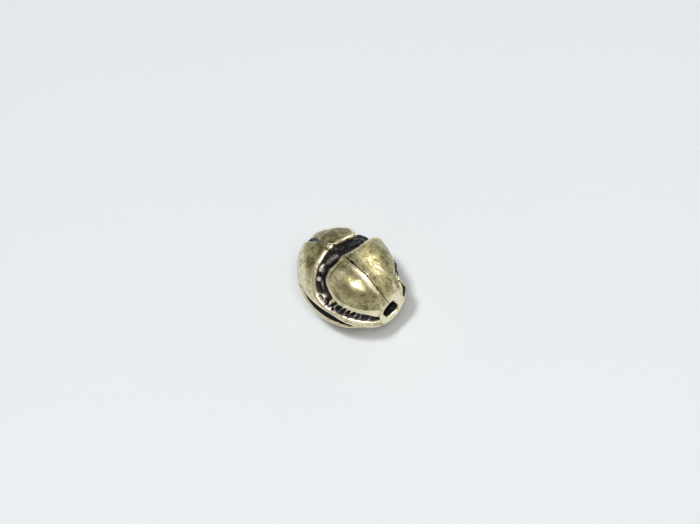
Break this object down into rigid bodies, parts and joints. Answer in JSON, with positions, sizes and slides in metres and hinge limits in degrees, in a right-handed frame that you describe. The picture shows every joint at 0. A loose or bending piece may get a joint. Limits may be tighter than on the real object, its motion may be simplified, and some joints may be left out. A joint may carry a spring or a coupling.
{
  "type": "bead",
  "caption": "Aged brass beetle bead with the same domed wing cases, split collar and toothed legs on both faces, strung on a cord hole along its length.",
  "frame": {"origin": "middle of the cord hole, half way between its two mouths", "axes": "+X along the cord hole towards the tail, +Z out of the upper wing cases, +Y towards the beetle's right flank as it is seen from above"},
  "size_m": [0.012, 0.0101, 0.0098],
  "materials": {
    "worn_brass": "aged cast brass, satin, blotched olive patina, worn bright on the raised places",
    "dark_brass": "brass oxidised to black in the recesses, with bare metal on the highest points"
  },
  "bodies": {
    "root": {"tail_ring": "worn_brass", "head": "worn_brass", "upper_boss": "worn_brass", "lower_boss": "worn_brass", "upper_left_collar": "worn_brass", "upper_right_collar": "worn_brass", "lower_left_collar": "worn_brass", "lower_right_collar": "worn_brass", "upper_left_wing_case": "worn_brass", "upper_right_wing_case": "worn_brass", "lower_left_wing_case": "worn_brass", "lower_right_wing_case": "worn_brass", "upper_right_rim": "worn_brass", "lower_right_rim": "worn_brass", "core": "dark_brass", "upper_left_front_leg": "dark_brass", "upper_right_front_leg": "dark_brass", "lower_left_front_leg": "dark_brass", "lower_right_front_leg": "dark_brass", "upper_left_hind_leg": "dark_brass", "upper_right_hind_leg": "dark_brass", "lower_left_hind_leg": "dark_brass", "lower_right_hind_leg": "dark_brass", "upper_left_middle_leg": "dark_brass", "lower_left_middle_leg": "dark_brass"}
  },
  "joints": []
}
